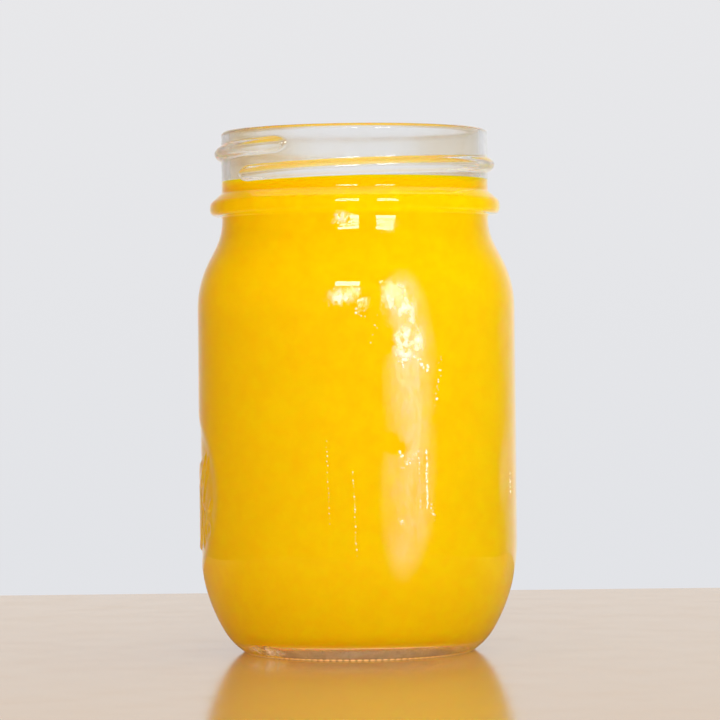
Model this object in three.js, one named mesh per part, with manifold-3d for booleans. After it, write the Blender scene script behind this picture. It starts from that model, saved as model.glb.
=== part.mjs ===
// A pint glass of orange juice: a clear screw-top preserving jar with no lid, filled almost to the
// mouth. Millimetres, +Z up. The origin is the centre of the ring that the jar stands on.
import * as THREE from "three";
import { mergeVertices } from "three/addons/utils/BufferGeometryUtils.js";
import { ParametricGeometry } from "three/addons/geometries/ParametricGeometry.js";
import Module from "manifold-3d";

const { degToRad } = THREE.MathUtils;

// Overall sizes of the jar
const jarHeight = 128;
const bodyRadius = 39.1;
const neckRadius = 32.8;
const mouthRadius = 30.8;
const bodyWall = 2.6;
const rimOuterRounding = 1.15;
const rimInnerRounding = 0.8;

// Foot and floor
const footRadius = 28.5;
const footWidth = 2.9;
const pushUpHeight = 2.3;
const floorHeight = 4.1;
const floorCrown = 0.5;

// The shoulder and the heel are set out by their corners, which the fillets then round
const shoulderTop = 102.6;
const shoulderBottom = 90.7;
const shoulderWall = 2.4;
const heelBreakRadius = 31.7;
const heelBreakHeight = 2.65;
const heelTop = 15.5;
const innerHeelTop = 16.3;
const innerHeelSlope = degToRad(30);

// The bead under the thread
const beadRadius = 35.76;
const beadBottom = 107;
const beadTop = 112.9;
const beadShelfRise = 0.3;
const beadFlankDrop = 2.5;

// The thread is half-round and a little over one turn long
const threadRadius = 1.72;
const threadPitch = 6.35;
const threadStartHeight = 116.7;
const threadStartAngle = degToRad(-147);
const threadSweep = degToRad(387);
const threadEndLength = 3.6;

// The oval moulded panel on the left side, with a fruit and two leaves standing up in it
const panelHeight = 39.5;
const panelHalfWidth = 21;
const panelHalfHeight = 19.5;
const panelDepth = 0.5;
const fruitRadius = 8.4;
const fruitDrop = 6;
const leafLength = 12;
const leafHalfWidth = 3.1;
const leafOverlap = 0.9;
const leafAngles = [degToRad(28), degToRad(152)];

// The juice
const juiceLevel = 115;
const meniscusRise = 0.7;
const meniscusWidth = 1.6;
const juiceClearance = 0.3;

// How finely the round surfaces are faceted
const segmentsRound = 48;
const arcTolerance = 0.05;
const threadSides = 9;
const threadEndFacets = 4;

const wasm = await Module();
wasm.setup();

const corner = (radius, z, fillet = 0) => ({ at: new THREE.Vector2(radius, z), fillet });

// Turns a row of corners into outline points. Each fillet is an arc tangent to both its edges.
function roundedOutline(corners) {
  const points = [];
  corners.forEach(({ at, fillet }, i) => {
    if (!fillet) {
      points.push(at);
      return;
    }
    const incoming = at.clone().sub(corners[i - 1].at).normalize();
    const outgoing = corners[i + 1].at.clone().sub(at).normalize();
    const turn = Math.atan2(incoming.cross(outgoing), incoming.dot(outgoing));
    const start = at.clone().addScaledVector(incoming, -fillet * Math.tan(Math.abs(turn) / 2));
    const inward = new THREE.Vector2(-incoming.y, incoming.x).multiplyScalar(Math.sign(turn));
    const centre = start.clone().addScaledVector(inward, fillet);
    const facetAngle = 2 * Math.acos(1 - arcTolerance / fillet);
    const facets = Math.max(2, Math.ceil(Math.abs(turn) / facetAngle));
    for (let k = 0; k <= facets; k++) {
      points.push(start.clone().rotateAround(centre, (turn * k) / facets));
    }
  });
  return points;
}

// Revolves an outline about +Z. It faces outwards where the outline runs up outside, down inside.
function revolved(outline) {
  return new THREE.LatheGeometry(outline, segmentsRound).rotateX(Math.PI / 2);
}

function toSolid(geometry) {
  geometry.deleteAttribute("normal");
  geometry.deleteAttribute("uv");
  const merged = mergeVertices(geometry, 1e-3);
  const triVerts = [];
  for (let i = 0; i < merged.index.count; i += 3) {
    const [a, b, c] = merged.index.array.slice(i, i + 3);
    if (a !== b && b !== c && c !== a) triVerts.push(a, b, c);
  }
  return new wasm.Manifold(
    new wasm.Mesh({
      numProp: 3,
      vertProperties: merged.attributes.position.array,
      triVerts: Uint32Array.from(triVerts),
    }),
  );
}

function toGeometry(solid) {
  const { vertProperties, triVerts } = solid.getMesh();
  const geometry = new THREE.BufferGeometry();
  geometry.setAttribute("position", new THREE.BufferAttribute(Float32Array.from(vertProperties), 3));
  geometry.setIndex(new THREE.BufferAttribute(Uint32Array.from(triVerts), 1));
  geometry.computeVertexNormals();
  return geometry;
}

// The cavity from the mouth to the middle of the floor, drawn the given clearance inside the glass.
function cavityCorners(clearance) {
  const neck = mouthRadius - clearance;
  const wall = bodyRadius - bodyWall - clearance;
  const shoulder = new THREE.Vector2(neckRadius - bodyRadius, shoulderTop - shoulderBottom);
  const inset = (shoulderWall + clearance) / shoulder.length();
  const slopeRadius = bodyRadius - inset * shoulder.y;
  const slopeHeight = shoulderBottom + inset * shoulder.x;
  const slopeAt = (radius) => slopeHeight + ((radius - slopeRadius) * shoulder.y) / shoulder.x;
  const floor = floorHeight + clearance;
  const heel = innerHeelTop + clearance * Math.tan(innerHeelSlope / 2);
  return [
    corner(neck, slopeAt(neck), 8),
    corner(wall, slopeAt(wall), 24),
    corner(wall, heel, 36),
    corner(wall - (heel - floor) * Math.tan(innerHeelSlope), floor, 7),
    corner(0, floor + floorCrown),
  ];
}

function jarShell() {
  return revolved(
    roundedOutline([
      corner(0, pushUpHeight),
      corner(footRadius - footWidth - 4, pushUpHeight - 0.6, 6),
      corner(footRadius - footWidth, 0, 0.5),
      corner(footRadius, 0, 0.8),
      corner(heelBreakRadius, heelBreakHeight, 18),
      corner(bodyRadius, heelTop, 43),
      corner(bodyRadius, shoulderBottom, 26),
      corner(neckRadius, shoulderTop, 6),
      corner(neckRadius, beadBottom, 0.6),
      corner(beadRadius, beadBottom + beadShelfRise, 1.6),
      corner(beadRadius, beadTop - beadFlankDrop, 2.2),
      corner(neckRadius, beadTop, 0.8),
      corner(neckRadius, jarHeight, rimOuterRounding),
      corner(mouthRadius, jarHeight, rimInnerRounding),
      ...cavityCorners(0),
    ]),
  );
}

// A round bar wound along the helix, half of it sunk in the neck. Its ends taper as half-ellipses.
function threadRidge() {
  const length = threadSweep * neckRadius;
  const stations = [];
  for (let k = 0; k < threadEndFacets; k++) {
    stations.push(threadEndLength * (1 - Math.cos((k * Math.PI) / (2 * threadEndFacets))));
  }
  const farEnd = stations.map((along) => length - along).reverse();
  for (let k = 0; k <= segmentsRound; k++) {
    stations.push(threadEndLength + ((length - 2 * threadEndLength) * k) / segmentsRound);
  }
  stations.push(...farEnd);

  const section = (u, v, target) => {
    const along = stations[Math.round(u * (stations.length - 1))];
    const shortfall = 1 - Math.min(along, length - along, threadEndLength) / threadEndLength;
    const barRadius = threadRadius * Math.sqrt(1 - shortfall ** 2);
    const turned = 2 * Math.PI * v;
    const radius = neckRadius + barRadius * Math.cos(turned);
    const swept = along / neckRadius;
    const angle = threadStartAngle + swept;
    const z = threadStartHeight + (threadPitch * swept) / (2 * Math.PI) + barRadius * Math.sin(turned);
    target.set(radius * Math.cos(angle), radius * Math.sin(angle), z);
  };
  return new ParametricGeometry(section, stations.length - 1, threadSides);
}

// A shape drawn on the jar's left side, made into a bar that runs out through the wall.
function barOnLeft(shape, curveSegments) {
  const bar = new THREE.ExtrudeGeometry(shape, { depth: bodyRadius + 5, bevelEnabled: false, curveSegments });
  bar.rotateX(Math.PI / 2).rotateZ(-Math.PI / 2).translate(0, 0, panelHeight);
  return toSolid(bar);
}

function leafShape(angle) {
  const tip = new THREE.Vector2(leafLength, 0).rotateAround(new THREE.Vector2(), angle);
  const bulge = new THREE.Vector2(leafLength / 2, 2 * leafHalfWidth).rotateAround(new THREE.Vector2(), angle);
  const hollow = new THREE.Vector2(leafLength / 2, -2 * leafHalfWidth).rotateAround(new THREE.Vector2(), angle);
  const foot = fruitRadius - fruitDrop - leafOverlap;
  const leaf = new THREE.Shape().moveTo(0, foot);
  leaf.quadraticCurveTo(bulge.x, foot + bulge.y, tip.x, foot + tip.y);
  leaf.quadraticCurveTo(hollow.x, foot + hollow.y, 0, foot);
  return leaf;
}

// What the mould leaves out of the panel: its oval down to panelDepth, less the raised figures.
function panelHollow() {
  const oval = new THREE.Shape().absellipse(0, 0, panelHalfWidth, panelHalfHeight, 0, 2 * Math.PI);
  const fruit = new THREE.Shape().absarc(0, -fruitDrop, fruitRadius, 0, 2 * Math.PI);
  const bed = new THREE.CylinderGeometry(
    bodyRadius - panelDepth,
    bodyRadius - panelDepth,
    3 * panelHalfHeight,
    segmentsRound,
  );
  bed.rotateX(Math.PI / 2).translate(0, 0, panelHeight);
  let hollow = barOnLeft(oval, 16).subtract(toSolid(bed)).subtract(barOnLeft(fruit, 10));
  for (const angle of leafAngles) hollow = hollow.subtract(barOnLeft(leafShape(angle), 6));
  return hollow;
}

function jarGeometry() {
  return toGeometry(toSolid(jarShell()).add(toSolid(threadRidge())).subtract(panelHollow()));
}

// The juice fills the cavity to its level, and its top climbs a little where it meets the glass.
function juiceGeometry() {
  const reach = mouthRadius - juiceClearance;
  return revolved(
    roundedOutline([
      ...cavityCorners(juiceClearance).reverse(),
      corner(reach, juiceLevel + meniscusRise),
      corner(reach - meniscusWidth, juiceLevel, 2.4),
      corner(0, juiceLevel),
    ]),
  );
}

const clearGlass = new THREE.MeshStandardMaterial({
  color: 0xe8ecea,
  roughness: 0.04,
  metalness: 0,
  transparent: true,
  opacity: 0.35,
});
const orangeJuice = new THREE.MeshStandardMaterial({ color: 0xfbc400, roughness: 0.35, metalness: 0 });

const glassOfJuice = new THREE.Group();

const jar = new THREE.Mesh(jarGeometry(), clearGlass);
jar.name = "glass_jar";
glassOfJuice.add(jar);

const juice = new THREE.Mesh(juiceGeometry(), orangeJuice);
juice.name = "orange_juice";
glassOfJuice.add(juice);

export default glassOfJuice;
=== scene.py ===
import math
import random
import bpy
from mathutils import Matrix, Vector, noise


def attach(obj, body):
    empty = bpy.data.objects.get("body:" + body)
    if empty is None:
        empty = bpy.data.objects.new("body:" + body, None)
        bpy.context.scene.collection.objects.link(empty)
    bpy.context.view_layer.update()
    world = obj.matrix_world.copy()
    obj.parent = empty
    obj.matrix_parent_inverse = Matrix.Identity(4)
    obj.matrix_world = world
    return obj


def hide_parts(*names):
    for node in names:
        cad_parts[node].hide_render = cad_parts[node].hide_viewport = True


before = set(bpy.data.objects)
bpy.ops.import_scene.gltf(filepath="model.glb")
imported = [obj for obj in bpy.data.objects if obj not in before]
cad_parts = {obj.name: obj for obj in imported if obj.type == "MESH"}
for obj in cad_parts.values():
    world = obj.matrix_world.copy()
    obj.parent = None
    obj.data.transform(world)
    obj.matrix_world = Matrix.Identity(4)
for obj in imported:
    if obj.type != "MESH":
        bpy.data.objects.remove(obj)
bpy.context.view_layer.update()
mm = 0.001
print("frame loaded")

# Lengths in the dictionaries are millimetres. Angles round the jar are degrees, counted from the
# front (-Y) towards the right (+X).


# Helpers for node trees

def newTree(name, sizes):  # gives the tree and its inputs by name
    tree = bpy.data.node_groups.new(name, "GeometryNodeTree")
    tree.interface.new_socket("Geometry", in_out="INPUT", socket_type="NodeSocketGeometry")
    for label, value in sizes.items():
        kind = "NodeSocketInt" if isinstance(value, int) else "NodeSocketFloat"
        tree.interface.new_socket(label, in_out="INPUT", socket_type=kind).default_value = value
    tree.interface.new_socket("Geometry", in_out="OUTPUT", socket_type="NodeSocketGeometry")
    return tree, {socket.name: socket for socket in tree.nodes.new("NodeGroupInput").outputs}


def add(tree, kind, inputs=None, **settings):
    node = tree.nodes.new(kind)
    for key, value in settings.items():
        setattr(node, key, value)
    for key, value in (inputs or {}).items():
        feed(tree, value, node.inputs[key])
    return node


def feed(tree, value, socket):
    if isinstance(value, bpy.types.NodeSocket):
        tree.links.new(value, socket)
    else:
        socket.default_value = value


def calc(tree, operation, *values):
    node = tree.nodes.new("ShaderNodeMath")
    node.operation = operation
    for value, socket in zip(values, node.inputs):
        feed(tree, value, socket)
    return node.outputs[0]


def blend(tree, share, first, second):
    return add(tree, "ShaderNodeMix", {0: share, 6: first, 7: second}, data_type="RGBA").outputs[2]


def objectPlace(tree):
    return add(tree, "ShaderNodeTexCoord").outputs["Object"]


def axesOf(tree, place):
    return add(tree, "ShaderNodeSeparateXYZ", {0: place}).outputs


def closeTree(tree, geometry, material):
    realized = add(tree, "GeometryNodeRealizeInstances", {"Geometry": geometry})
    painted = add(tree, "GeometryNodeSetMaterial",
                  {"Geometry": realized.outputs[0], "Material": material})
    tree.links.new(painted.outputs[0], tree.nodes.new("NodeGroupOutput").inputs[0])


def runTree(piece, tree, sizes):
    modifier = piece.modifiers.new(tree.name, "NODES")
    modifier.node_group = tree
    for item in tree.interface.items_tree:
        if item.in_out == "INPUT" and item.name in sizes:
            modifier[item.identifier] = sizes[item.name]
    graph = bpy.context.evaluated_depsgraph_get()
    made = bpy.data.meshes.new_from_object(piece.evaluated_get(graph), depsgraph=graph)
    piece.modifiers.remove(modifier)
    return made


def newPiece(name, mesh, materials):
    piece = bpy.data.objects.new(name, mesh)
    bpy.context.collection.objects.link(piece)
    if not mesh.materials:
        for material in materials:
            mesh.materials.append(material)
    mesh.shade_smooth()
    return piece


# Helpers for turned shapes

def bend(low, high, value):  # 0 up to low, 1 from high, smooth between
    share = min(max((value - low) / (high - low), 0.0), 1.0)
    return share * share * (3 - 2 * share)


def roundedOutline(corners, facetDegrees=9, longest=1.4):
    points = []
    for i, (radius, z, fillet) in enumerate(corners):
        here = Vector((radius, z))
        if not fillet:
            points.append(here)
            continue
        arriving = (here - Vector(corners[i - 1][:2])).normalized()
        leaving = (Vector(corners[i + 1][:2]) - here).normalized()
        turn = math.atan2(arriving.x * leaving.y - arriving.y * leaving.x, arriving.dot(leaving))
        start = here - arriving * fillet * math.tan(abs(turn) / 2)
        centre = start + Vector((-arriving.y, arriving.x)) * math.copysign(fillet, turn)
        facets = max(math.degrees(abs(turn)) / facetDegrees, abs(turn) * fillet / longest, 2)
        for k in range(math.ceil(facets) + 1):
            swing = Matrix.Rotation(turn * k / math.ceil(facets), 2)
            points.append(centre + swing @ (start - centre))
    return points


def splitRows(points, rowHeight):
    rows = [points[0]]
    for before, after in zip(points, points[1:]):
        count = math.ceil((after - before).length / rowHeight((before + after) / 2) - 1e-6)
        rows += [before.lerp(after, k / count) for k in range(1, max(count, 1) + 1)]
    return rows


def onJar(angle, radius, z):
    turned = math.radians(angle)
    return radius * math.sin(turned) * mm, -radius * math.cos(turned) * mm, z * mm


def turnedMesh(name, rows, columns, relief=None):
    verts, faces = [], []
    for i, (radius, z) in enumerate(rows):
        if radius < 1e-6:
            verts.append((0, 0, z * mm))
            continue
        for column in columns:
            out = radius + (relief(i, column, radius, z) if relief else 0)
            verts.append(onJar(column, out, z))
    starts, at = [], 0
    for radius, z in rows:
        starts.append(at)
        at += 1 if radius < 1e-6 else len(columns)
    for i in range(len(rows) - 1):
        for j in range(len(columns)):
            k = (j + 1) % len(columns)
            ring = [starts[i] + j, starts[i] + k, starts[i + 1] + k, starts[i + 1] + j]
            if rows[i][0] < 1e-6:
                ring = [starts[i], starts[i + 1] + k, starts[i + 1] + j]
            elif rows[i + 1][0] < 1e-6:
                ring = [starts[i] + j, starts[i] + k, starts[i + 1]]
            faces.append(ring)
    mesh = bpy.data.meshes.new(name)
    mesh.from_pydata(verts, [], faces)
    mesh.update()
    return mesh


# Helpers for materials

def newMaterial(name):
    material = bpy.data.materials.new(name)
    material.use_nodes = True
    tree = material.node_tree
    return material, tree, tree.nodes["Principled BSDF"], tree.nodes["Material Output"]


def spots(tree, scale, stretch=(1, 1, 1), detail=2.0, roughness=0.5):
    place = add(tree, "ShaderNodeMapping", {"Vector": objectPlace(tree), "Scale": stretch})
    cloud = add(tree, "ShaderNodeTexNoise", {"Vector": place.outputs[0], "Scale": scale,
                                             "Detail": detail, "Roughness": roughness})
    return cloud.outputs["Fac"]


def ramp(tree, value, low, high, toLow=0.0, toHigh=1.0):
    node = add(tree, "ShaderNodeMapRange", {"Value": value, "From Min": low, "From Max": high,
                                           "To Min": toLow, "To Max": toHigh})
    return node.outputs[0]


def overlay(tree, share, below, above, output):
    mixed = add(tree, "ShaderNodeMixShader", {0: share, 1: below.outputs[0], 2: above.outputs[0]})
    feed(tree, mixed.outputs[0], output.inputs["Surface"])


def letShadowsPass(tree, shader, output, colour):
    shadow = add(tree, "ShaderNodeLightPath").outputs["Is Shadow Ray"]
    overlay(tree, shadow, shader, add(tree, "ShaderNodeBsdfTransparent", {"Color": colour}), output)


# Clear glass. The jar's attributes say where it is misted, wet or filmed with juice, and so where it
# carries a painted highlight, painted glints and painted light from the juice.

glassLook = {
    "tint": (0.985, 0.992, 0.985, 1.0),
    "index": 1.5,
    "clearRoughness": 0.002,
    "mistRoughness": 0.12,
    "mistUnevenness": 0.4,
    # the blooms and the film's tint below are painted light: a blurred window highlight on the mist,
    # glints on the wet patches, and light from the juice on the film
    "mistAndHighlightBloom": 0.17,
    "wetGlintBloom": 0.54,
    "filmAndJuiceLightTint": (0.8, 0.62, 0.32, 1.0),
    "filmRoughness": 0.22,
    "filmAndJuiceLightBloom": 0.06,
    "shadowTint": (0.96, 0.97, 0.96, 1.0),
}


def makeGlass():
    look = glassLook
    material, tree, shader, output = newMaterial("clearGlass")
    shader.inputs["IOR"].default_value = look["index"]

    # mist is a soft white bloom that paints the window's blurred highlight, and the wet patches in
    # it are whiter and crinkled, painted glints
    mistAndHighlight = add(tree, "ShaderNodeAttribute", attribute_name="mistAndHighlight").outputs["Fac"]
    wet = add(tree, "ShaderNodeAttribute", attribute_name="wet").outputs["Fac"]
    uneven = look["mistUnevenness"]
    blotches = spots(tree, 190, (1, 1, 0.5), 6.0, 0.65)
    blotches = ramp(tree, blotches, 0.35, 0.65, 1 - uneven, 1 + uneven)
    mistAndHighlight = ramp(tree, calc(tree, "MULTIPLY", mistAndHighlight, blotches), 0.06, 1.25)
    grain = ramp(tree, spots(tree, 800, (1, 1, 0.4), 3.0, 0.7), 0.38, 0.62, 0.7, 1.3)
    crinkle = spots(tree, 620, (1, 1, 0.7), 4.0, 0.65)
    glintFlakes = calc(tree, "MULTIPLY", wet, ramp(tree, crinkle, 0.42, 0.66))
    # a drained film of juice above its level clouds and tints the inside of the neck, and the tint
    # is also painted light from the juice, carried up in the wall
    filmAndJuiceLight = add(tree, "ShaderNodeAttribute", attribute_name="filmAndJuiceLight").outputs["Fac"]
    patchy = ramp(tree, spots(tree, 300, (1, 1, 0.3), 3.0), 0.3, 0.7, 0.7, 1.0)
    filmAndJuiceLight = calc(tree, "MULTIPLY", filmAndJuiceLight, patchy)
    dry = calc(tree, "SUBTRACT", mistAndHighlight, wet)
    blur = ramp(tree, dry, 0, 1, look["clearRoughness"], look["mistRoughness"])
    blur = calc(tree, "MAXIMUM", blur, calc(tree, "MULTIPLY", filmAndJuiceLight, look["filmRoughness"]))
    feed(tree, blur, shader.inputs["Roughness"])
    # painted reflection of the juice: the film's warm tint is strongest at grazing angles
    facing = add(tree, "ShaderNodeLayerWeight", {"Blend": 0.5}).outputs["Facing"]
    tinted = calc(tree, "MULTIPLY", filmAndJuiceLight, ramp(tree, facing, 0.04, 0.2))
    feed(tree, blend(tree, tinted, look["tint"], look["filmAndJuiceLightTint"]), shader.inputs["Base Color"])

    bloom = calc(tree, "MULTIPLY", mistAndHighlight, grain)
    clear = 1.0
    for share, bloomName in ((bloom, "mistAndHighlightBloom"), (glintFlakes, "wetGlintBloom"), (filmAndJuiceLight, "filmAndJuiceLightBloom")):
        clear = calc(tree, "SUBTRACT", clear, calc(tree, "MULTIPLY", share, look[bloomName]))
    feed(tree, clear, shader.inputs["Transmission Weight"])

    ripple = spots(tree, 110, (0.5, 0.5, 2.2), 1.0)
    streaks = calc(tree, "MULTIPLY", crinkle, wet)
    wavy = add(tree, "ShaderNodeBump", {"Height": ripple, "Strength": 0.2, "Distance": 0.12 * mm})
    wetted = add(tree, "ShaderNodeBump", {"Height": streaks, "Strength": 1.0, "Distance": 0.32 * mm,
                                          "Normal": wavy.outputs[0]})
    feed(tree, wetted.outputs[0], shader.inputs["Normal"])

    letShadowsPass(tree, shader, output, look["shadowTint"])
    return material


# Orange juice: the body seen through the glass, and its open top

juiceLook = {
    "deep": (0.985, 0.632, 0.0, 1.0),
    "bright": (1.0, 0.678, 0.0, 1.0),
    # painted shade: the juice is darker near its top edge
    "brimShade": (0.96, 0.6, 0.0, 1.0),
    "brimShadeFrom": 111.5,
    "brimShadeTo": 114.5,
    "pulpSize": 240,
    "scatterDepth": 5.0,
    "scatterColour": (1.0, 0.55, 0.08),
    "index": 1.35,
    "indexAgainstGlass": 0.9,
    "mirrorsBelow": 92,
    "mirrorFade": 6,
}


def makeJuice(name, wet):
    look = juiceLook
    material, tree, shader, output = newMaterial(name)
    cloud = ramp(tree, spots(tree, look["pulpSize"], detail=6.0, roughness=0.65), 0.36, 0.62)
    colour = blend(tree, cloud, look["deep"], look["bright"])
    # painted shade: the juice is darker near its top edge in the neck
    if not wet:
        height = axesOf(tree, objectPlace(tree))[2]
        brimShade = ramp(tree, height, look["brimShadeFrom"] * mm, look["brimShadeTo"] * mm)
        colour = blend(tree, brimShade, colour, look["brimShade"])
    feed(tree, colour, shader.inputs["Base Color"])
    shader.inputs["Subsurface Weight"].default_value = 1.0
    shader.inputs["Subsurface Radius"].default_value = look["scatterColour"]
    shader.inputs["Subsurface Scale"].default_value = look["scatterDepth"] * mm
    shader.inputs["IOR"].default_value = look["index"]
    if wet:
        shader.inputs["Specular IOR Level"].default_value = 0.5
        feed(tree, ramp(tree, cloud, 0, 1, 0.12, 0.26), shader.inputs["Roughness"])
        bump = add(tree, "ShaderNodeBump", {"Height": cloud, "Strength": 0.3, "Distance": 0.15 * mm})
        feed(tree, bump.outputs[0], shader.inputs["Normal"])
    else:
        shader.inputs["Specular IOR Level"].default_value = 0.0
        feed(tree, ramp(tree, cloud, 0, 1, 0.7, 0.9), shader.inputs["Roughness"])
        # at a shallow angle through the glass the side of the juice mirrors
        mirror = add(tree, "ShaderNodeBsdfAnisotropic", {"Roughness": 0.02})
        share = add(tree, "ShaderNodeFresnel", {"IOR": look["indexAgainstGlass"]}).outputs[0]
        top = look["mirrorsBelow"] * mm
        low = ramp(tree, height, top, top - look["mirrorFade"] * mm)
        share = calc(tree, "MULTIPLY", share, low)
        overlay(tree, share, shader, mirror, output)
    return material


# painted glint: the drops are mostly a pale diffuse colour, so they show as pale dots
waterLook = {"colour": (1.0, 0.95, 0.78, 1.0), "clearness": 0.35, "index": 1.33}


def makeWater():
    look = waterLook
    material, tree, shader, output = newMaterial("waterDrop")
    shader.inputs["Base Color"].default_value = look["colour"]
    shader.inputs["Transmission Weight"].default_value = look["clearness"]
    shader.inputs["IOR"].default_value = look["index"]
    feed(tree, ramp(tree, spots(tree, 3000), 0.3, 0.7, 0.03, 0.1), shader.inputs["Roughness"])
    letShadowsPass(tree, shader, output, (1.0, 1.0, 1.0, 1.0))
    return material


clearGlass = makeGlass()
juiceBody = makeJuice("juiceBody", False)
juiceTop = makeJuice("juiceTop", True)
waterDrop = makeWater()
print("materials made")


# The jar: outline, moulded panel, thread

jar = {
    "height": 128.0,
    "bodyRadius": 39.1,
    "neckRadius": 32.8,
    "mouthRadius": 30.8,
    "bodyWall": 2.6,
    "rimOuterRounding": 1.15,
    "rimInnerRounding": 0.8,
    "footRadius": 28.5,
    "footWidth": 2.9,
    "ringHeight": 0.28,  # the ribs carry the ring this much above the table
    "pushUpHeight": 2.3,
    "floorHeight": 4.1,
    "floorCrown": 0.5,
    "shoulderTop": 102.6,
    "shoulderBottom": 90.7,
    "shoulderWall": 2.4,
    "heelBreakRadius": 31.7,
    "heelBreakHeight": 2.65,
    "heelTop": 15.5,
    "innerHeelTop": 16.3,
    "innerHeelSlope": 30,
    "beadRadius": 35.76,
    "beadBottom": 107.0,
    "beadTop": 112.9,
    "beadShelfRise": 0.3,
    "beadFlankDrop": 2.5,
    "wave": 0.035,
    "waveLength": 17,
}

jarMesh = {  # how finely the jar is faceted
    "threadRow": 0.3,
    "panelRow": 0.68,
    "filmRow": 1.0,
    "plainRow": 3.0,
    "panelColumns": (-126, -24, 0.75),  # first and last angle, and the step
    "plainColumns": (-24, 234, 2.0),
}

thread = {
    "Neck Radius": jar["neckRadius"] * mm,
    "Ridge Height": 1.72 * mm,
    "Half Width": 1.72 * mm,
    "Pitch": 6.35 * mm,
    "Start Height": 116.7 * mm,
    "Start Angle": math.radians(-147),
    "Sweep": math.radians(387),
    "End Length": 3.6 * mm,
    "Root Rounding": 0.16,
    "Roundness": 0.62,
}

panel = {
    "height": 39.5,
    "halfWidth": 21.0,
    "halfHeight": 19.5,
    "depth": 0.5,
    "edge": 5.0,  # how far in from the oval the panel reaches its depth
    "fruitRadius": 8.4,
    "fruitDrop": 6.0,
    "leafLength": 12.0,
    "leafHalfWidth": 3.1,
    "leafOverlap": 0.9,
    "leafAngles": (28, 152),
    "groove": 0.16,
    "grooveInset": 1.9,
    "strokes": [  # low relief on the panel's front part, across and up from its middle
        [(13.6, 8.2), (12.2, 5.0), (10.4, 1.6), (9.0, -1.6)],
        [(11.2, 9.0), (9.6, 5.6), (9.0, -1.6)],
        [(7.0, -1.2), (10.2, -3.0), (14.2, -3.6), (15.4, -2.0)],
        [(9.6, -12.6), (9.0, -8.6), (10.6, -5.6)],
    ],
    "curl": (13.4, -8.6),
    "curlRadius": 2.5,
    "strokeHeight": 0.3,
}


def cavityCorners(clearance):
    j = jar
    neck = j["mouthRadius"] - clearance
    wall = j["bodyRadius"] - j["bodyWall"] - clearance
    shoulder = Vector((j["neckRadius"] - j["bodyRadius"], j["shoulderTop"] - j["shoulderBottom"]))
    inset = (j["shoulderWall"] + clearance) / shoulder.length
    slopeRadius = j["bodyRadius"] - inset * shoulder.y
    slopeHeight = j["shoulderBottom"] + inset * shoulder.x

    def slopeAt(radius):
        return slopeHeight + (radius - slopeRadius) * shoulder.y / shoulder.x

    floor = j["floorHeight"] + clearance
    lean = math.radians(j["innerHeelSlope"])
    heel = j["innerHeelTop"] + clearance * math.tan(lean / 2)
    return [
        (neck, slopeAt(neck), 8),
        (wall, slopeAt(wall), 24),
        (wall, heel, 36),
        (wall - (heel - floor) * math.tan(lean), floor, 7),
        (0, floor + j["floorCrown"], 0),
    ]


def panelRelief(column, radius, z):
    p = panel
    across = radius * math.cos(math.radians(column))
    up = z - p["height"]
    here = Vector((across, up))
    onRight = math.sin(math.radians(column)) > 0
    if onRight or abs(across) > p["halfWidth"] + 3 or abs(up) > p["halfHeight"] + 3:
        return 0

    # the sunk oval, the fruit with a groove inside its edge, and the leaves with their midribs
    reach = math.hypot(across / p["halfWidth"], up / p["halfHeight"])
    hollow = bend(0, p["edge"], (1 - reach) * p["halfHeight"])
    fruit = Vector((across, up + p["fruitDrop"])).length
    inside = p["fruitRadius"] - fruit
    groove = bend(0.8, 0, abs(inside - p["grooveInset"])) + bend(1.6, 0.8, fruit)
    foot = Vector((0, p["fruitRadius"] - p["fruitDrop"] - p["leafOverlap"]))
    for angle in p["leafAngles"]:
        local = Matrix.Rotation(-math.radians(angle), 2) @ (here - foot)
        share = min(max(local.x / p["leafLength"], 0), 1)
        edge = 4 * p["leafHalfWidth"] * share * (1 - share) - abs(local.y)
        if edge > inside:
            inside = edge
            groove = bend(0.55, 0, abs(local.y)) * bend(0, 0.25, share)
    raised = bend(-0.5, 0.5, inside)

    # low strokes, and a curl made of a ring and a dot
    low = 0
    for stroke in p["strokes"]:
        for start, end in zip(stroke, stroke[1:]):
            start, along = Vector(start), Vector(end) - Vector(start)
            share = min(max((here - start).dot(along) / along.length_squared, 0), 1)
            low = max(low, bend(1.0, 0.2, (here - start - along * share).length))
    curl = (here - Vector(p["curl"])).length
    low = max(low, bend(0.9, 0.2, abs(curl - p["curlRadius"])), bend(1.1, 0.3, curl))
    sunk = -p["depth"] * hollow * (1 - raised) - p["groove"] * min(groove, 1) * raised
    return sunk + p["strokeHeight"] * low * hollow * (1 - raised)


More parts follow.
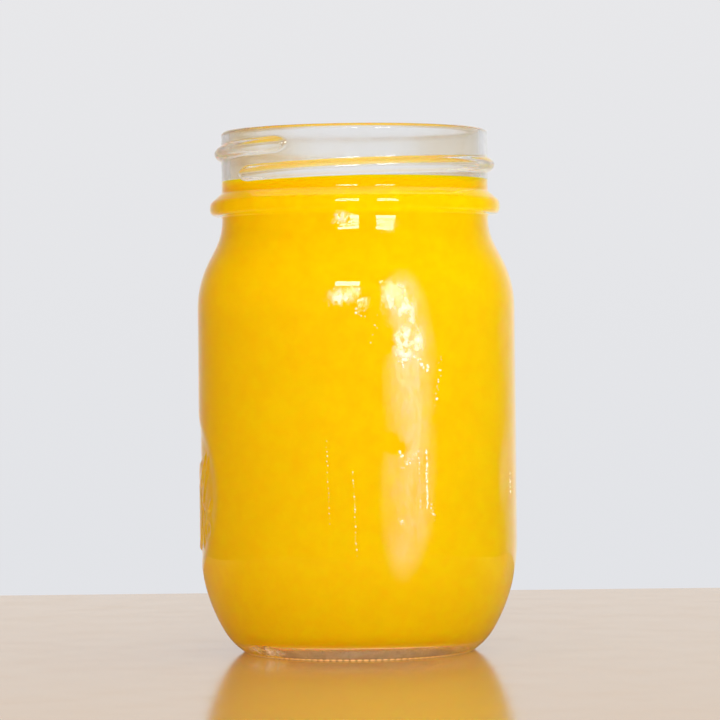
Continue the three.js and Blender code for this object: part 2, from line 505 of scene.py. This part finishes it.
def makeJar():
    j = jar
    outside = [
        (0, j["pushUpHeight"], 0),
        (j["footRadius"] - j["footWidth"] - 4, j["pushUpHeight"] - 0.6, 6),
        (j["footRadius"] - j["footWidth"], j["ringHeight"], 0.5),
        (j["footRadius"], j["ringHeight"], 0.8),
        (j["heelBreakRadius"], j["heelBreakHeight"], 15.5),
        (j["bodyRadius"], j["heelTop"], 43),
        (j["bodyRadius"], j["shoulderBottom"], 26),
        (j["neckRadius"], j["shoulderTop"], 15),
        (j["neckRadius"], j["beadBottom"], 0.6),
        (j["beadRadius"], j["beadBottom"] + j["beadShelfRise"], 1.6),
        (j["beadRadius"], j["beadTop"] - j["beadFlankDrop"], 2.2),
        (j["neckRadius"], j["beadTop"], 0.8),
        (j["neckRadius"], j["height"], j["rimOuterRounding"]),
        (j["mouthRadius"], j["height"], j["rimInnerRounding"]),
    ]

    def rowHeight(point):
        radius, z = point
        if radius > j["mouthRadius"] + 1 and j["beadTop"] + 0.8 < z < j["height"] - 1.2:
            return jarMesh["threadRow"]
        if radius > j["bodyRadius"] - 1.2 and abs(z - panel["height"]) < panel["halfHeight"] + 1.5:
            return jarMesh["panelRow"]
        if radius < j["mouthRadius"] + 0.1 and 109 < z < 126:
            return jarMesh["filmRow"]
        return jarMesh["plainRow"]

    rows = splitRows(roundedOutline(outside + cavityCorners(0)), rowHeight)
    rim = max(range(len(rows)), key=lambda i: rows[i].y)
    columns = []
    for first, last, step in (jarMesh["panelColumns"], jarMesh["plainColumns"]):
        columns += [first + k * step for k in range(round((last - first) / step))]

    def relief(i, column, radius, z):  # rows before the rim are the outside
        if z < 3 or z > j["height"] - 1.4:
            return 0
        turned = math.radians(column)
        spot = Vector((radius * math.sin(turned), radius * math.cos(turned), 0.7 * z))
        spot = spot / j["waveLength"] + Vector((0, 0, 0 if i < rim else 9))
        wave = j["wave"] * noise.noise(spot) * bend(3, 9, z)
        return wave + (panelRelief(column, radius, z) if i < rim else 0)

    mesh = turnedMesh("glassJar", rows, columns, relief)
    for name, field in (("mistAndHighlight", mistAndHighlightAt), ("wet", wetAndGlintAt), ("filmAndJuiceLight", filmAndJuiceLightAt)):
        values = [field(v.co / mm) for v in mesh.vertices]
        mesh.attributes.new(name, "FLOAT", "POINT").data.foreach_set("value", values)
    return mesh


# Where the outside of the glass is misted, its bloom a painted highlight, where the mist is cleared
# or wet, with painted glints, and where the drained film of juice lies, with painted light from the
# juice

mistAndHighlightBand = {
    "edges": [  # height, then the angles of the left and the right edge
        (22, 13.5, 18.5),
        (30, 11.2, 23.5),
        (45, 11.0, 25.5),
        (54, 13.0, 25.5),
        (66, 12.5, 25.5),
        (76, 13.5, 25.0),
        (86, 13.0, 22.0),
        (92, 15.0, 18.0),
    ],
    "softness": 5.6,
    "belowStrength": 0.78,
    "aboveStrength": 1.18,
    "footTop": 3.4,  # the foot is cloudy below this height
    "footFade": 1.0,
    "footStrength": 0.9,
    "rightEdgeReflection": (60, 68),  # angles between which the misted band on the right side begins, a painted reflection along that edge
    "edgeReflectionStrength": 0.4,
    "panelEdgeHighlight": 0.5,  # painted highlight: the moulded edges catch some light
    "cleared": [  # angle, height, half width, half height
        (11.8, 76.4, 2.3, 3.6),
        (9.5, 52.8, 4.2, 2.2),
        (14.0, 51.0, 3.0, 1.8),
        (27.8, 57.5, 1.0, 1.2),
    ],
    "wet": [  # a film of water that catches the window, its whiter crinkles a painted glint: the same, then how crinkled it is
        (14.6, 88.5, 1.4, 1.4, 0.6),
        (17.2, 85.0, 2.2, 4.2, 1.0),
        (17.0, 75.5, 2.4, 4.2, 1.0),
        (22.2, 76.2, 1.3, 3.4, 1.0),
        (20.0, 81.0, 1.2, 2.6, 0.9),
        (12.0, 86.5, 2.2, 4.0, 0.7),
        (-5.4, 86.8, 3.0, 1.9, 1.0),
        (-0.5, 87.4, 1.6, 1.2, 0.8),
        (2.4, 84.8, 1.2, 1.2, 0.9),
        (-5.6, 105.6, 2.0, 1.5, 0.8),
        (14.0, 103.6, 2.2, 1.1, 0.25),
        # a painted glint on the left of the foot
        (-49.0, 1.6, 6.5, 1.2, 1.0),
    ],
}

# painted light from the juice, together with a drained film of juice above its level
juiceFilmAndLight = {
    "strength": 0.9,
    "lessOnRight": 0.4,
    "moreLowDown": 0.4,
    "lowDown": (118.5, 115.8),  # heights where the lower, thicker film begins and is full
    "edge": (112.6, 114.6),  # heights where the film begins and is full, behind the juice
    "juiceLightUnderFoot": 0.75,  # painted light: the foot has the same warm tint from the light through the juice above it
}


def around(co):
    return math.degrees(math.atan2(co.x, -co.y)), math.hypot(co.x, co.y)


def patchAt(co, patchAngle, height, halfWidth, halfHeight):  # a soft oval spot
    angle, radius = around(co)
    aside = math.radians(angle - patchAngle) * radius / halfWidth
    return bend(1.3, 0.6, math.hypot(aside, (co.z - height) / halfHeight))


def footAt(co):
    return bend(mistAndHighlightBand["footTop"], mistAndHighlightBand["footTop"] - mistAndHighlightBand["footFade"], co.z)


def panelEdgeAt(angle, radius, z):  # how steep the relief is
    across = panelRelief(angle + 0.5, radius, z) - panelRelief(angle - 0.5, radius, z)
    along = panelRelief(angle, radius, z + 0.34) - panelRelief(angle, radius, z - 0.34)
    return bend(0.12, 0.45, math.hypot(across, along))


def mistAndHighlightAt(co):
    m = mistAndHighlightBand
    angle, radius = around(co)
    if co.z < m["footTop"]:
        return m["footStrength"] * footAt(co)
    if radius < jar["neckRadius"]:
        return 0
    # painted highlight on the steep edges of the panel relief
    if abs(angle + 90) < 36 and abs(co.z - panel["height"]) < panel["halfHeight"] + 2:
        return m["panelEdgeHighlight"] * panelEdgeAt(angle, radius, co.z)
    if not -10 < angle < 120:
        return 0
    # the misted band, whose bloom is also the painted highlight of the window
    heights = [row[0] for row in m["edges"]]
    z = min(max(co.z, heights[0]), heights[-1])
    above = next(k for k in range(1, len(heights)) if z <= heights[k])
    low, high = m["edges"][above - 1], m["edges"][above]
    share = (z - low[0]) / (high[0] - low[0])
    left, right = (low[k] + (high[k] - low[k]) * share for k in (1, 2))
    soft = m["softness"]
    field = bend(left - soft, left + soft, angle) * bend(right + soft, right - soft, angle)
    field *= bend(heights[0] - 5, heights[0] + 3, co.z)
    field *= bend(heights[-1] + 3, heights[-1] - 3, co.z)
    # the painted highlight is stronger higher up
    field *= m["belowStrength"] + (m["aboveStrength"] - m["belowStrength"]) * bend(40, 72, co.z)
    for patch in m["cleared"]:
        field *= 1 - patchAt(co, *patch)

    # painted reflection: a pale misted band down the right side of the jar, with a wavy edge
    edge = bend(*m["rightEdgeReflection"], angle + 3 * math.sin(co.z / 5.5)) * bend(112, 88, angle)
    edge *= bend(14, 24, co.z) * bend(96, 88, co.z)
    return max(field, m["edgeReflectionStrength"] * edge * (0.45 + 0.55 * bend(66, 50, co.z)))


def wetAndGlintAt(co):
    angle, radius = around(co)
    onFoot = co.z <= mistAndHighlightBand["footTop"]
    outside = jar["footRadius"] - 0.8 if onFoot else jar["neckRadius"] - 0.2
    if radius < outside or abs(angle) > 90:
        return 0
    return max(strength * patchAt(co, *patch) for *patch, strength in mistAndHighlightBand["wet"])


def filmAndJuiceLightAt(co):
    f = juiceFilmAndLight
    radius = math.hypot(co.x, co.y)
    # painted light from the juice on the foot, left out where the foot's painted glint is
    if co.z < mistAndHighlightBand["footTop"]:
        return f["juiceLightUnderFoot"] * footAt(co) * (1 - wetAndGlintAt(co))
    rim = co.z >= jar["height"] - 1
    if co.z < 112 or radius > jar["mouthRadius"] + (3 if rim else 0.1):
        return 0
    filmAndJuiceLight = f["strength"] - f["lessOnRight"] * co.x / radius
    filmAndJuiceLight += f["moreLowDown"] * bend(*f["lowDown"], co.z)
    return min(filmAndJuiceLight, 1.0) * bend(*f["edge"], co.z)


def threadTree():
    tree, s = newTree("screwThread", thread)
    xyz = axesOf(tree, add(tree, "GeometryNodeInputPosition").outputs[0])
    flat = add(tree, "ShaderNodeCombineXYZ", {0: xyz[0], 1: xyz[1]}).outputs[0]
    outward = add(tree, "ShaderNodeVectorMath", {0: flat}, operation="NORMALIZE").outputs[0]
    radius = add(tree, "ShaderNodeVectorMath", {0: flat}, operation="LENGTH").outputs["Value"]
    angle = calc(tree, "SUBTRACT", calc(tree, "ARCTAN2", xyz[1], xyz[0]), s["Start Angle"])
    angle = calc(tree, "WRAP", angle, 2 * math.pi, 0.0)
    length = calc(tree, "MULTIPLY", s["Sweep"], s["Neck Radius"])
    lift = 0.0
    for turn in (0, 1):
        swept = calc(tree, "ADD", angle, 2 * math.pi * turn)
        along = calc(tree, "MULTIPLY", swept, s["Neck Radius"])
        fromEnd = calc(tree, "MINIMUM", along, calc(tree, "SUBTRACT", length, along))
        share = calc(tree, "DIVIDE", fromEnd, s["End Length"])
        share = calc(tree, "MINIMUM", calc(tree, "MAXIMUM", share, 0.0), 1.0)
        short = calc(tree, "POWER", calc(tree, "SUBTRACT", 1.0, share), 2.0)
        size = calc(tree, "SQRT", calc(tree, "SUBTRACT", 1.0, short))
        climb = calc(tree, "MULTIPLY", calc(tree, "DIVIDE", swept, 2 * math.pi), s["Pitch"])
        fromCrest = calc(tree, "SUBTRACT", xyz[2], calc(tree, "ADD", s["Start Height"], climb))
        width = calc(tree, "MULTIPLY", s["Half Width"], calc(tree, "MAXIMUM", size, 0.02))
        aside = calc(tree, "DIVIDE", calc(tree, "ABSOLUTE", fromCrest), width)
        hump = calc(tree, "SUBTRACT", 1.0, calc(tree, "POWER", aside, 2.0))
        hump = calc(tree, "SMOOTH_MAX", hump, 0.0, s["Root Rounding"])
        ridge = calc(tree, "MULTIPLY", calc(tree, "POWER", hump, s["Roundness"]), size)
        lift = calc(tree, "MAXIMUM", lift, calc(tree, "MULTIPLY", ridge, s["Ridge Height"]))
    outer = calc(tree, "GREATER_THAN", radius, calc(tree, "SUBTRACT", s["Neck Radius"], 0.4 * mm))
    lift = calc(tree, "MULTIPLY", lift, outer)
    offset = add(tree, "ShaderNodeVectorMath", {0: outward, "Scale": lift}, operation="SCALE")
    moved = add(tree, "GeometryNodeSetPosition",
                {"Geometry": s["Geometry"], "Offset": offset.outputs[0]})
    closeTree(tree, moved.outputs[0], clearGlass)
    return tree


blank = newPiece("blankJar", makeJar(), [clearGlass])
glassJar = newPiece("glassJar", runTree(blank, threadTree(), thread), [clearGlass])
bpy.data.objects.remove(blank)
print("jar made,", len(glassJar.data.polygons), "faces")


# Short ribs under the foot, which keep it off the table

footRibs = {
    "Count": 110,
    "Ring Radius": 27.0 * mm,
    "Rib Length": 1.15 * mm,
    "Rib Width": 0.42 * mm,
    "Rib Height": 0.3 * mm,
}


def ribTree():
    tree, s = newTree("footRibs", footRibs)
    ring = add(tree, "GeometryNodeMeshCircle", {"Vertices": s["Count"], "Radius": s["Ring Radius"]})
    bead = add(tree, "GeometryNodeMeshUVSphere", {"Segments": 10, "Rings": 5, "Radius": 1.0})
    size = add(tree, "ShaderNodeCombineXYZ",
               {0: s["Rib Length"], 1: s["Rib Width"], 2: s["Rib Height"]})
    turned = add(tree, "FunctionNodeAlignRotationToVector",
                 {"Vector": add(tree, "GeometryNodeInputPosition").outputs[0]}, axis="X")
    ribs = add(tree, "GeometryNodeInstanceOnPoints", {
        "Points": ring.outputs[0], "Instance": bead.outputs[0],
        "Rotation": turned.outputs[0], "Scale": size.outputs[0]})
    lifted = add(tree, "GeometryNodeTranslateInstances", {"Instances": ribs.outputs[0]})
    up = add(tree, "ShaderNodeCombineXYZ", {2: s["Rib Height"]})
    feed(tree, up.outputs[0], lifted.inputs["Translation"])
    lifted.inputs["Local Space"].default_value = False
    closeTree(tree, lifted.outputs[0], clearGlass)
    return tree


blank = newPiece("blankRibs", bpy.data.meshes.new("blankRibs"), [])
ribMesh = runTree(blank, ribTree(), footRibs)
jarRibs = newPiece("footRibs", ribMesh, [clearGlass])
bpy.data.objects.remove(blank)
print("foot ribs made")


# The juice: its side reaches just into the glass, its top climbs the wall a little

juice = {
    "level": 115.0,
    "climb": 0.75,
    "climbWidth": 1.7,
    "intoGlass": 0.18,
    "columns": 144,
    "sideRow": 3.0,
    "topRow": 2.5,
}


def makeJuiceMesh():
    reach = jar["mouthRadius"] + juice["intoGlass"]
    side = cavityCorners(-juice["intoGlass"])[::-1] + [(reach, juice["level"] + juice["climb"], 0)]
    top = [
        (reach, juice["level"] + juice["climb"], 0),
        (reach - 0.45, juice["level"] + 0.62 * juice["climb"], 0.9),
        (reach - juice["climbWidth"], juice["level"], 2.0),
        (0, juice["level"], 0),
    ]
    sideRows = splitRows(roundedOutline(side), lambda point: juice["sideRow"])
    topRows = splitRows(roundedOutline(top, 6, 0.5), lambda point: juice["topRow"])
    columns = [k * 360 / juice["columns"] for k in range(juice["columns"])]
    mesh = turnedMesh("orangeJuice", sideRows + topRows[1:], columns)
    mesh.materials.append(juiceBody)
    mesh.materials.append(juiceTop)
    for face in mesh.polygons:
        lowest = min(mesh.vertices[v].co.z for v in face.vertices)
        if lowest > (juice["level"] - 0.01) * mm and face.normal.z > 0.1:
            face.material_index = 1
    return mesh


orangeJuice = newPiece("orangeJuice", makeJuiceMesh(), [])
print("juice made")


# Water on the outside: beads that run down, or lie along the edge of a cleared patch

water = {
    "runs": [  # angle and height at both ends, how far it wanders, beads, smallest, largest
        (-10.6, 52.5, -10.0, 33.0, 0.25, 17, 0.06, 0.2),
        (-1.6, 45.5, -0.6, 26.0, 0.25, 26, 0.07, 0.24),
        (24.6, 50.5, 24.8, 36.5, 0.25, 46, 0.16, 0.34),
        (21.8, 49.5, 22.2, 37.5, 0.25, 18, 0.08, 0.22),
        (19.5, 73.5, 25.8, 69.2, 0.9, 15, 0.12, 0.5),
        (14.2, 72.5, 17.0, 70.6, 0.7, 8, 0.14, 0.5),
        (30.0, 67.5, 28.6, 61.5, 0.8, 11, 0.1, 0.34),
        (31.0, 72.5, 29.6, 69.5, 0.8, 5, 0.1, 0.28),
        (15.3, 46.6, 20.0, 49.6, 1.0, 14, 0.12, 0.42),
        (15.0, 50.2, 15.6, 49.0, 0.25, 4, 0.2, 0.45),
        (26.2, 37.0, 27.6, 33.6, 0.8, 9, 0.1, 0.3),
        (14.6, 34.5, 14.9, 33.0, 1.2, 6, 0.1, 0.34),
        (-1.0, 84.6, 3.0, 82.0, 0.9, 8, 0.1, 0.36),
        (7.2, 81.5, 5.4, 77.0, 0.9, 5, 0.08, 0.22),
        (71.0, 44.5, 71.4, 39.0, 0.25, 14, 0.1, 0.3),
        (150, 66, 151, 41, 0.25, 24, 0.1, 0.36),
        (203, 58, 202, 34, 0.25, 22, 0.1, 0.34),
    ],
    "pointsOnRun": 14,
    "standsOut": 0.02,
    "scatter": 0.55,
    "flatness": 0.5,
    "firstSeed": 11,
    "firstPathSeed": 40,
}


def runCurve(startAngle, startZ, endAngle, endZ, wander, seed):
    rng = random.Random(seed)
    curve = bpy.data.curves.new("waterRun", "CURVE")
    curve.dimensions = "3D"
    line = curve.splines.new("POLY")
    last = water["pointsOnRun"] - 1
    line.points.add(last)
    for k, point in enumerate(line.points):
        angle = startAngle + (endAngle - startAngle) * k / last + rng.uniform(-wander, wander)
        z = startZ + (endZ - startZ) * k / last + rng.uniform(-wander, wander)
        radius = jar["bodyRadius"] + water["standsOut"]
        if z > jar["shoulderBottom"] - 6.4:
            radius -= 0.4  # the shoulder has begun to round in
        point.co = (*onJar(angle, radius, z), 1)
    return curve


def drawn(tree, low, high, seed):
    draw = add(tree, "FunctionNodeRandomValue", data_type="FLOAT")
    byName = {socket.name: socket for socket in draw.inputs if socket.enabled}
    for name, value in (("Min", low), ("Max", high), ("Seed", seed)):
        feed(tree, value, byName[name])
    return draw.outputs[1]


def beadTree():
    tree, s = newTree("beadsOnRun", {"Beads": 12, "Smallest": 0.1 * mm, "Largest": 0.3 * mm,
                                     "Flatness": water["flatness"],
                                     "Scatter": water["scatter"] * mm, "Seed": 3})
    dots = add(tree, "GeometryNodeCurveToPoints", {"Curve": s["Geometry"], "Count": s["Beads"]},
               mode="COUNT")
    place = add(tree, "GeometryNodeInputPosition").outputs[0]
    flat = add(tree, "ShaderNodeVectorMath", {0: place, 1: (1, 1, 0)}, operation="MULTIPLY")
    outward = add(tree, "FunctionNodeAlignRotationToVector", {"Vector": flat.outputs[0]}, axis="Z")
    skew = calc(tree, "POWER", drawn(tree, 0.0, 1.0, s["Seed"]), 2.2)  # most beads are small
    shift = drawn(tree, -1.0, 1.0, calc(tree, "ADD", s["Seed"], 50))
    shift = calc(tree, "MULTIPLY", shift, s["Scatter"])
    shift = add(tree, "ShaderNodeCombineXYZ", {2: shift}).outputs[0]
    dots = add(tree, "GeometryNodeSetPosition", {"Geometry": dots.outputs[0], "Offset": shift})
    span = calc(tree, "SUBTRACT", s["Largest"], s["Smallest"])
    radius = calc(tree, "ADD", s["Smallest"], calc(tree, "MULTIPLY", skew, span))
    thick = calc(tree, "MULTIPLY", radius, s["Flatness"])
    size = add(tree, "ShaderNodeCombineXYZ", {0: radius, 1: radius, 2: thick})
    drop = add(tree, "GeometryNodeMeshIcoSphere", {"Radius": 1.0, "Subdivisions": 2})
    beads = add(tree, "GeometryNodeInstanceOnPoints", {
        "Points": dots.outputs[0], "Instance": drop.outputs[0],
        "Rotation": outward.outputs[0], "Scale": size.outputs[0]})
    closeTree(tree, beads.outputs[0], waterDrop)
    return tree


def joinMeshes(name, meshes):
    parts = [bpy.data.objects.new(name + str(k), mesh) for k, mesh in enumerate(meshes)]
    for part in parts:
        bpy.context.collection.objects.link(part)
    with bpy.context.temp_override(active_object=parts[0], selected_editable_objects=parts):
        bpy.ops.object.join()
    parts[0].name = name
    return parts[0]


beadsOnRun = beadTree()
runMeshes = []
for k, (*ends, beads, smallest, largest) in enumerate(water["runs"]):
    path = bpy.data.objects.new("runPath", runCurve(*ends, water["firstPathSeed"] + k))
    bpy.context.collection.objects.link(path)
    runMeshes.append(runTree(path, beadsOnRun, {
        "Beads": beads, "Smallest": smallest * mm, "Largest": largest * mm,
        "Seed": water["firstSeed"] + k}))
    bpy.data.objects.remove(path)
waterBeads = joinMeshes("waterBeads", runMeshes)
waterBeads.data.shade_smooth()
print("water beads made,", len(waterBeads.data.polygons), "faces")

for piece, node, slot in (
    (glassJar, "glass_jar", "clear_glass"),
    (jarRibs, None, "clear_glass"),
    (orangeJuice, "orange_juice", "orange_juice"),
    (waterBeads, None, "clear_glass"),
):
    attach(piece, "root")
    if node:
        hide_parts(node)


# Table, light and camera

studio = {
    "tableHalf": 190,
    "tableThickness": 12,
    "tableColour": (0.41, 0.262, 0.1, 1.0),
    "tableIndex": 1.68,
    "tableRoughness": (0.11, 0.15),
    # painted shade: the table is darker where the jar mirrors it
    "tableShadeInReflections": 0.25,
    # painted light: the table glows for bounced rays and under the jar's foot
    "tableGlow": 0.62,
    "glowUnderJar": 0.9,
    "glowFades": (28, 25),
    "glowColour": (1.0, 0.66, 0.36, 1.0),
    "wallColourLow": (0.765, 0.775, 0.805, 1.0),
    "wallColourHigh": (0.805, 0.805, 0.822, 1.0),
    "lightFromLeft": (1.37, 0.845, 0.86, 1.0),
    "lightFromRight": (2.2, 2.06, 2.06, 1.0),
    "lightFromAbove": 0.5,
    "reflectedFront": 0.02,
    "reflectedBack": 0.85,
    "reflectedCeiling": 0.06,
    "windowAngles": [(-15.5, 3.5), (18.0, 34.5)],
    "windowElevations": [(6.0, 10.2), (12.0, 15.6), (17.4, 21.0), (23.4, 28.5)],
    "windowBrightness": 15.0,
    "fillAngle": 5,
    "fillElevation": 20,
    "fillDistance": 1900,
    "fillAim": 76,
    "fillSize": 900,
    "fillPower": 12.5,
    "fillColour": (0.95, 1.0, 0.9),
}


def makeTable():
    half, thick = studio["tableHalf"] * mm, studio["tableThickness"] * mm
    corners = [(x, y, z) for z in (-thick, 0)
               for x, y in ((-half, -half), (half, -half), (half, half), (-half, half))]
    faces = [(3, 2, 1, 0), (4, 5, 6, 7), (0, 1, 5, 4), (1, 2, 6, 5), (2, 3, 7, 6), (3, 0, 4, 7)]
    mesh = bpy.data.meshes.new("tableTop")
    mesh.from_pydata(corners, [], faces)
    material, tree, shader, output = newMaterial("paleTable")
    shade = ramp(tree, spots(tree, 60, detail=4.0), 0.3, 0.7, 0.0, 1.0)
    pale = studio["tableColour"]
    deeper = tuple(0.96 * v for v in pale[:3]) + (1.0,)
    place = objectPlace(tree)
    path = add(tree, "ShaderNodeLightPath").outputs
    # painted shade: the front of the table is darker where the jar mirrors it
    mirrored = calc(tree, "SUBTRACT", path["Is Glossy Ray"], path["Is Transmission Ray"])
    inFront = ramp(tree, axesOf(tree, place)[1], 30 * mm, -20 * mm)
    dimmed = tuple(studio["tableShadeInReflections"] * v for v in pale[:3]) + (1.0,)
    colour = blend(tree, shade, deeper, pale)
    colour = blend(tree, calc(tree, "MULTIPLY", mirrored, inFront), colour, dimmed)
    feed(tree, colour, shader.inputs["Base Color"])
    sheen = ramp(tree, shade, 0, 1, *studio["tableRoughness"])
    feed(tree, calc(tree, "ADD", sheen, mirrored), shader.inputs["Roughness"])
    # painted light: the table glows for rays that bounce up into the jar, and glows where light
    # gathers under the jar's foot
    bounced = calc(tree, "MINIMUM", path["Diffuse Depth"], 1.0)
    fromMiddle = add(tree, "ShaderNodeVectorMath", {0: place}, operation="LENGTH").outputs["Value"]
    gathered = ramp(tree, fromMiddle, *(radius * mm for radius in studio["glowFades"]))
    gathered = calc(tree, "MULTIPLY", gathered, studio["glowUnderJar"])
    glow = calc(tree, "ADD", calc(tree, "MULTIPLY", bounced, studio["tableGlow"]), gathered)
    feed(tree, glow, shader.inputs["Emission Strength"])
    shader.inputs["Emission Color"].default_value = studio["glowColour"]
    shader.inputs["IOR"].default_value = studio["tableIndex"]
    mesh.materials.append(material)
    table = bpy.data.objects.new("tableTop", mesh)
    bpy.context.collection.objects.link(table)
    return table


def within(tree, angle, ranges):
    total = 0.0
    for low, high in ranges:
        middle, half = math.radians(low + high) / 2, math.radians(high - low) / 2
        total = calc(tree, "ADD", total, calc(tree, "COMPARE", angle, middle, half))
    return total


def makeWorld():
    world = bpy.data.worlds.new("studio")
    bpy.context.scene.world = world
    world.use_nodes = True
    world.cycles.sampling_method = "NONE"
    tree = world.node_tree
    axes = axesOf(tree, add(tree, "ShaderNodeTexCoord").outputs["Generated"])
    path = add(tree, "ShaderNodeLightPath").outputs

    rise = ramp(tree, axes[2], -0.06, 0.11)
    wall = blend(tree, rise, studio["wallColourLow"], studio["wallColourHigh"])

    # light on the juice and the table
    side = ramp(tree, axes[0], -0.95, 0.05)
    light = blend(tree, side, studio["lightFromLeft"], studio["lightFromRight"])
    strength = ramp(tree, axes[2], 0.15, 0.9, 1.0, studio["lightFromAbove"])
    light = add(tree, "ShaderNodeVectorMath", {0: light, "Scale": strength}, operation="SCALE")
    bounced = calc(tree, "MINIMUM", path["Diffuse Depth"], 1.0)
    seen = blend(tree, bounced, wall, light.outputs[0])

    # the room as the glass mirrors it: dark, with two windows in front and the pale wall behind
    behind = calc(tree, "POWER", ramp(tree, axes[1], 0.25, 1.0), 4.0)
    behind = calc(tree, "MULTIPLY", behind, ramp(tree, axes[0], -0.6, 0.6, 0.7, 1.8))
    room = ramp(tree, behind, 0, 1, studio["reflectedFront"], studio["reflectedBack"])
    room = calc(tree, "ADD", room, ramp(tree, axes[2], 0.88, 0.97, 0, studio["reflectedCeiling"]))
    aside = calc(tree, "ARCTAN2", axes[0], calc(tree, "MULTIPLY", axes[1], -1.0))
    raised = calc(tree, "ARCSINE", axes[2])
    windows = calc(tree, "MULTIPLY", within(tree, aside, studio["windowAngles"]),
                   within(tree, raised, studio["windowElevations"]))
    # the table and the misted glass don't mirror the windows
    windows = calc(tree, "MULTIPLY", windows, path["Is Singular Ray"])
    room = calc(tree, "ADD", room, calc(tree, "MULTIPLY", windows, studio["windowBrightness"]))
    mirrored = calc(tree, "SUBTRACT", path["Is Glossy Ray"], path["Is Transmission Ray"])
    feed(tree, blend(tree, mirrored, seen, room), tree.nodes["Background"].inputs["Color"])


def makeFill():
    lamp = bpy.data.lights.new("fill", "AREA")
    lamp.shape, lamp.size, lamp.energy = "SQUARE", studio["fillSize"] * mm, studio["fillPower"]
    lamp.color = studio["fillColour"]
    raised = math.radians(studio["fillElevation"])
    level = studio["fillDistance"] * math.cos(raised)
    away = Vector(onJar(studio["fillAngle"], level, studio["fillDistance"] * math.sin(raised)))
    fill = bpy.data.objects.new("fill", lamp)
    fill.location = away + Vector((0, 0, studio["fillAim"] * mm))
    fill.rotation_euler = away.to_track_quat("Z", "Y").to_euler()
    fill.visible_glossy = fill.visible_transmission = fill.visible_camera = False
    bpy.context.collection.objects.link(fill)


view = {
    "distance": 819,
    "eyeHeight": 76.5,
    "aside": 0.86,
    "pitch": -0.345,
    "roll": -0.62,
    "focal": 3320,  # in pixels of the frame
    "frame": 720,
}


def makeCamera():
    camera = bpy.data.cameras.new("camera")
    camera.sensor_width = 36
    camera.lens = view["focal"] / view["frame"] * camera.sensor_width
    piece = bpy.data.objects.new("camera", camera)
    bpy.context.collection.objects.link(piece)
    place = Matrix.Translation(Vector((view["aside"], -view["distance"], view["eyeHeight"])) * mm)
    tilt = Matrix.Rotation(math.radians(90 + view["pitch"]), 4, "X")
    piece.matrix_world = place @ tilt @ Matrix.Rotation(math.radians(view["roll"]), 4, "Z")
    bpy.context.scene.camera = piece


makeTable()
makeWorld()
makeFill()
makeCamera()
bpy.context.scene.view_settings.view_transform = "Standard"
bpy.context.scene.cycles.max_bounces = 24  # light crosses the glass floor and the thread many times
bpy.context.scene.cycles.glossy_bounces = 12
print("table, light and camera made")
